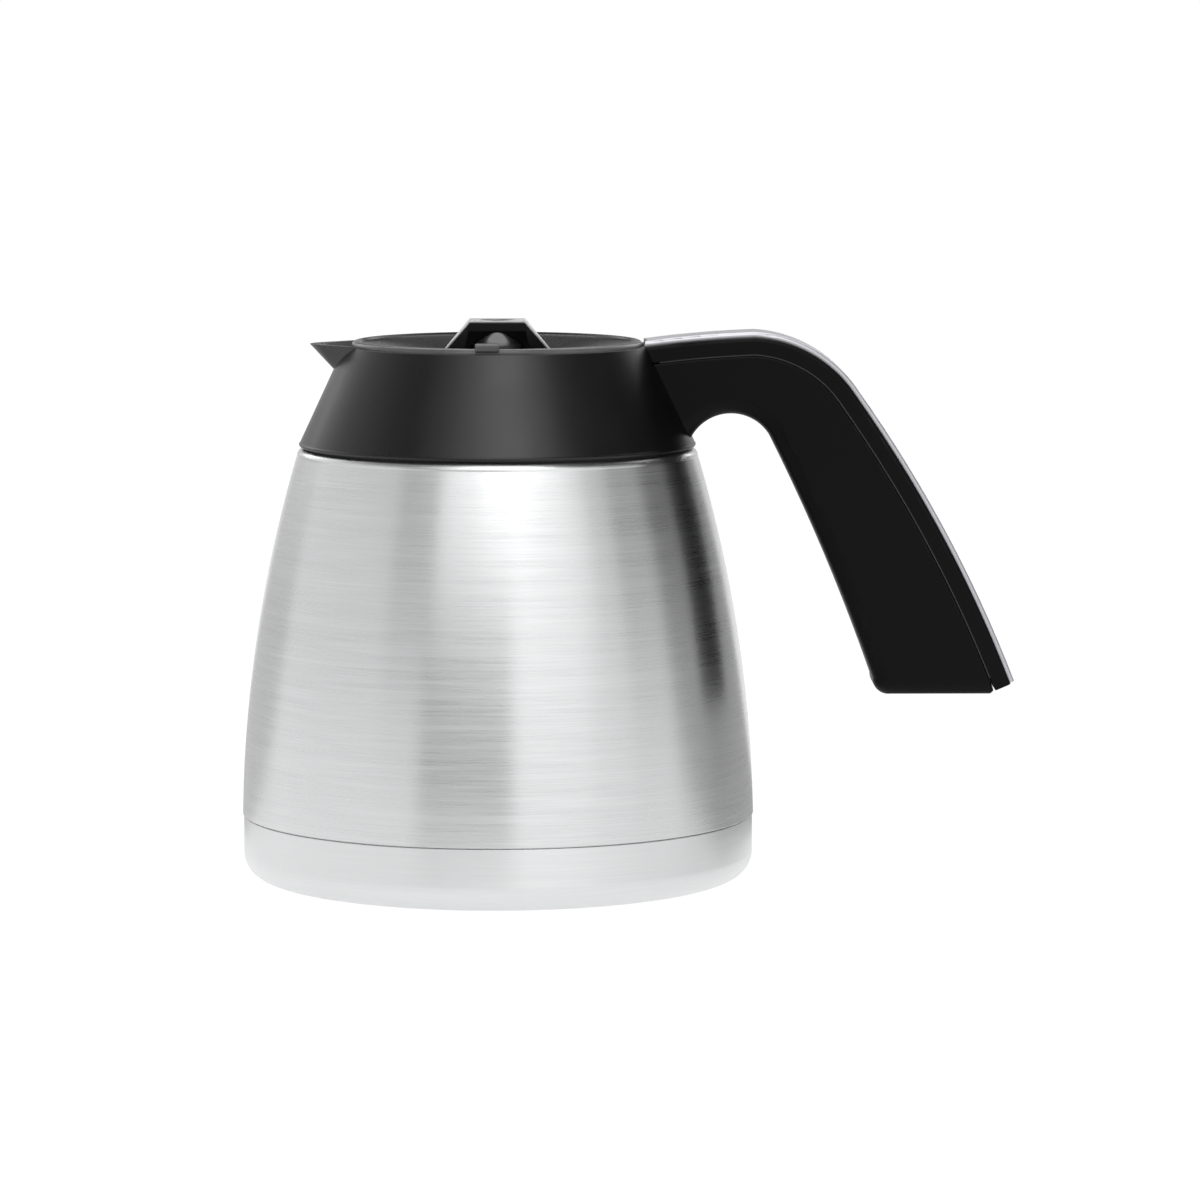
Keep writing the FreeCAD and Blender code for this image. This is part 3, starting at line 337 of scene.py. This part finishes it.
# The parting strip's lighter grey is a painted highlight on the handle's rounded parting edge
PARTING_HIGHLIGHT = (grey(0.10), grey(0.12), 0.5, 0.3, 0.01 * MM)
looks = {
    "shell": brushed_steel("shell_brushed_steel", STEEL, rough=0.29, contrast=0.10),
    "cup": brushed_steel("cup_brushed_steel", CUP_STEEL, rough=0.33, contrast=0.05),
    "liner": plain_steel("liner_steel", grey(0.66, 0.01), rough=0.32),
    "spring": plain_steel("spring_steel", grey(0.60, 0.02), rough=0.26),
    "screws": plain_steel("screw_steel", grey(0.55, 0.01), rough=0.30),
    "satin": moulded("collar_satin_black", *COLLAR),
    "handle": moulded("handle_black_plastic", *HANDLE),
    "lid": moulded("lid_black_plastic", *LID, rim=LID_RIM_HIGHLIGHT),
    "grip": moulded("grip_black_plastic", *GRIP),
    "cone": moulded("cone_grey_plastic", *CONE),
    "inner": moulded("inner_black_plastic", *INNER),
    "trim": satin_metal_paint("trim_silver_paint", (0.70, 0.695, 0.73), rough=0.36),
    "cap": satin_metal_paint("cap_silver_paint", grey(0.90, 0.01), rough=0.34),
    "gasket": rubber("gasket_silicone", grey(0.60, -0.02)),
    "parting": moulded("parting_painted_highlight", *PARTING_HIGHLIGHT),
}
WEARS = {
    "outer_shell": "shell",
    "base_cup": "cup",
    "base_plate": "inner",
    "inner_liner": "liner",
    "collar": "satin",
    "neck_gasket": "gasket",
    "collar_support_ring": "inner",
    "handle_trim_strip": "trim",
    "handle_back_cover": "handle",
    "handle_grip": "handle",
    "handle_screws": "screws",
    "stopper": "inner",
    "stopper_gasket": "gasket",
    "pour_drum": "inner",
    "lid_screws": "screws",
    "lid_cover": "lid",
    "lid_grip": "grip",
    "grip_cap": "cap",
    "valve_cone": "cone",
    "valve_stem": "inner",
    "valve_disc": "gasket",
    "valve_spring": "spring",
}
for node, look in WEARS.items():
    slots = nodes[node].data.materials
    if not slots:
        slots.append(None)
    for index in range(len(slots)):
        slots[index] = looks[look]

# The valve spring, pressed by the drip valve, is copied to a mesh of its own that moves with the lid
# insert, and the original is hidden
spring = bpy.data.objects.new("pressed_spring", nodes["valve_spring"].data.copy())
scene.collection.objects.link(spring)
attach(spring, "lid_insert")
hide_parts("valve_spring")
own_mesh(spring)

# The handle's outer line in millimetres: across, up and the turn of its outward normal at each point
RAIL = (
    (38.0, 146.6, 97.0),
    (54.9, 148.5, 95.0),
    (70.0, 149.4, 88.0),
    (86.5, 144.4, 59.5),
    (98.6, 132.7, 34.0),
    (121.5, 96.0, 28.5),
    (141.0, 54.0, 23.0),
)
# The parting line below it, in millimetres too, with the light strip along it that paints the highlight
# of its rounded edge
PARTING_DEPTH = 6.0
PARTING_THICKNESS = 0.36
PARTING_SIDES = (8.5, 10.75)
PARTING_START = 43.6
PARTING_END_UP = 52.6
ARC_PIECES = 24


def arc_points(first, middle, last):
    """Points on the arc through three points of a plane, from the first up to the last."""
    (ax, ay), (bx, by), (cx, cy) = first, middle, last
    twice = 2 * (ax * (by - cy) + bx * (cy - ay) + cx * (ay - by))
    a, b, c = ax * ax + ay * ay, bx * bx + by * by, cx * cx + cy * cy
    centre_across = (a * (by - cy) + b * (cy - ay) + c * (ay - by)) / twice
    centre_up = (a * (cx - bx) + b * (ax - cx) + c * (bx - ax)) / twice
    centre = Vector((centre_across, centre_up))
    start = Vector(first) - centre
    whole = start.angle_signed(Vector(last) - centre)
    turns = [-whole * step / ARC_PIECES for step in range(ARC_PIECES + 1)]
    return [centre + Matrix.Rotation(turn, 2) @ start for turn in turns]


def parting_line(depth):
    """The handle's outer line set in by a depth."""
    points = []
    for across, up, turn in RAIL:
        angle = math.radians(turn)
        points.append((across - depth * math.cos(angle), up - depth * math.sin(angle)))
    line = []
    for index in range(0, len(points) - 2, 2):
        line += arc_points(*points[index : index + 3])
    return [point for point in line if point.x > PARTING_START and point.y > PARTING_END_UP]


def parting_highlight_strip(name, near, far):
    """A thin light strip along the parting line, between two distances from the handle's middle plane:
    a painted highlight of the rounded edge there.
    """
    half = 0.5 * PARTING_THICKNESS
    inner = parting_line(PARTING_DEPTH + half)
    outer = parting_line(PARTING_DEPTH - half)
    count = min(len(inner), len(outer))
    points = []
    for low, high in zip(inner[-count:], outer[-count:]):
        for spot, side in ((low, near), (high, near), (high, far), (low, far)):
            points.append((spot.x * MM, side * MM, spot.y * MM))
    faces = []
    for index in range(count - 1):
        base = 4 * index
        for corner in range(4):
            after = (corner + 1) % 4
            faces.append((base + corner, base + after, base + 4 + after, base + 4 + corner))
    faces += [(3, 2, 1, 0), tuple(4 * (count - 1) + corner for corner in range(4))]
    mesh = bpy.data.meshes.new(name)
    mesh.from_pydata(points, [], faces)
    mesh.materials.append(looks["parting"])
    made = bpy.data.objects.new(name, mesh)
    scene.collection.objects.link(made)
    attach(made, "vessel")


# Light strips that paint the highlight along the handle's parting line, front and back
parting_highlight_strip("parting_highlight_front", -PARTING_SIDES[1], -PARTING_SIDES[0])
parting_highlight_strip("parting_highlight_back", PARTING_SIDES[0], PARTING_SIDES[1])


def glow(name, level):
    """A plain glowing material for a studio card."""
    material = bpy.data.materials.new(name)
    material.use_nodes = True
    tree = material.node_tree
    tree.nodes.clear()
    lamp = tree.nodes.new("ShaderNodeEmission")
    lamp.inputs["Strength"].default_value = level
    end = tree.nodes.new("ShaderNodeOutputMaterial")
    tree.links.new(lamp.outputs[0], end.inputs["Surface"])
    return material


def staged(name, points, faces, material):
    """A piece of the studio."""
    mesh = bpy.data.meshes.new(name)
    mesh.from_pydata(points, [], faces)
    mesh.materials.append(material)
    made = bpy.data.objects.new(name, mesh)
    scene.collection.objects.link(made)
    return made


def only_reflected(card):
    """A card that metal and plastic mirror, but that neither hides the view nor throws a shadow."""
    card.visible_camera = False
    card.visible_diffuse = False
    card.visible_shadow = False


def dome_card(name, turns, rises, level):
    """A patch of the dome between two turns and two rises."""
    columns = max(2, round((turns[1] - turns[0]) / DOME_STEP))
    rows = max(2, round((rises[1] - rises[0]) / DOME_STEP))
    points = []
    for column in range(columns + 1):
        turn = math.radians(turns[0] + (turns[1] - turns[0]) * column / columns)
        for row in range(rows + 1):
            rise = math.radians(rises[0] + (rises[1] - rises[0]) * row / rows)
            flat = DOME_RADIUS * math.cos(rise)
            points.append((flat * math.sin(turn), -flat * math.cos(turn), DOME_RADIUS * math.sin(rise)))
    faces = []
    for column in range(columns):
        for row in range(rows):
            corner = column * (rows + 1) + row
            faces.append((corner, corner + rows + 1, corner + rows + 2, corner + 1))
    only_reflected(staged(name, points, faces, glow(name + "_glow", level)))


for card, (turn_from, turn_to, rise_from, rise_to, level) in CARDS.items():
    dome_card(card, (turn_from, turn_to), (rise_from, rise_to), level)


def table_card(name, turns, reaches, level):
    """A dark sector of the table top."""
    columns = max(2, round((turns[1] - turns[0]) / DOME_STEP))
    points = []
    for column in range(columns + 1):
        turn = math.radians(turns[0] + (turns[1] - turns[0]) * column / columns)
        for reach in reaches:
            points.append((reach * math.sin(turn), -reach * math.cos(turn), TABLE_HEIGHT))
    faces = [(2 * i, 2 * i + 1, 2 * i + 3, 2 * i + 2) for i in range(columns)]
    only_reflected(staged(name, points, faces, glow(name + "_glow", level)))


for card, (turn_from, turn_to, reach_from, reach_to, level) in TABLES.items():
    table_card(card, (turn_from, turn_to), (reach_from, reach_to), level)


def looked_at(tree):
    """One for rays of the camera, mirrors and clear pieces, and nought for others."""
    path = tree.nodes.new("ShaderNodeLightPath")
    known = path.outputs["Is Camera Ray"]
    for kind in ("Is Glossy Ray", "Is Transmission Ray"):
        either = tree.nodes.new("ShaderNodeMath")
        either.operation = "MAXIMUM"
        tree.links.new(known, either.inputs[0])
        tree.links.new(path.outputs[kind], either.inputs[1])
        known = either.outputs[0]
    return known


def floor_material():
    """White paper: glows white to the eye and to mirrors, and still takes a shadow."""
    material = bpy.data.materials.new("floor_paper")
    material.use_nodes = True
    tree = material.node_tree
    tree.nodes.clear()
    level = tree.nodes.new("ShaderNodeMath")
    level.operation = "MULTIPLY"
    level.inputs[1].default_value = FLOOR_GLOW
    tree.links.new(looked_at(tree), level.inputs[0])
    lamp = tree.nodes.new("ShaderNodeEmission")
    tree.links.new(level.outputs[0], lamp.inputs["Strength"])
    paper = tree.nodes.new("ShaderNodeBsdfDiffuse")
    paper.inputs["Color"].default_value = (*grey(FLOOR_ALBEDO), 1.0)
    both = tree.nodes.new("ShaderNodeAddShader")
    tree.links.new(lamp.outputs[0], both.inputs[0])
    tree.links.new(paper.outputs[0], both.inputs[1])
    end = tree.nodes.new("ShaderNodeOutputMaterial")
    tree.links.new(both.outputs[0], end.inputs["Surface"])
    return material


half = FLOOR_SIZE / 2
floor_corners = [(-half, -half, 0.0), (half, -half, 0.0), (half, half, 0.0), (-half, half, 0.0)]
staged("floor", floor_corners, [(0, 1, 2, 3)], floor_material())

# World: white to the eye, softer as ambient light
world = bpy.data.worlds.new("studio")
scene.world = world
world.use_nodes = True
sky = world.node_tree
sky_level = sky.nodes.new("ShaderNodeMapRange")
sky_level.inputs["To Min"].default_value = AMBIENT
sky_level.inputs["To Max"].default_value = 1.0
background = sky.nodes["Background"]
background.inputs["Color"].default_value = (1.0, 1.0, 1.0, 1.0)
sky.links.new(looked_at(sky), sky_level.inputs["Value"])
sky.links.new(sky_level.outputs["Result"], background.inputs["Strength"])


def soft_lamp(name, place, size, level):
    """A square lamp that faces the object's middle and glows at the given level."""
    data = bpy.data.lights.new(name, "AREA")
    data.shape = "SQUARE"
    data.size = size
    data.energy = level * math.pi * size * size
    made = bpy.data.objects.new(name, data)
    scene.collection.objects.link(made)
    made.location = place
    aim = -made.location
    aim.z += LAMP_AIM_HEIGHT
    made.rotation_euler = aim.to_track_quat("-Z", "Y").to_euler()


soft_lamp("front_lamp", LAMP_PLACE, LAMP_SIZE, LAMP_LEVEL)

camera_data = bpy.data.cameras.new("photo_camera")
camera_data.sensor_width = SENSOR_WIDTH
camera_data.lens = FOCAL_PIXELS / PHOTO_PIXELS * SENSOR_WIDTH
camera_data.clip_start = NEAREST
camera_data.clip_end = FARTHEST
camera = bpy.data.objects.new("photo_camera", camera_data)
scene.collection.objects.link(camera)
camera.location = CAMERA_PLACE
camera.rotation_euler = (math.pi / 2 - CAMERA_PITCH, 0.0, -CAMERA_YAW)
scene.camera = camera
scene.view_settings.view_transform = "Standard"
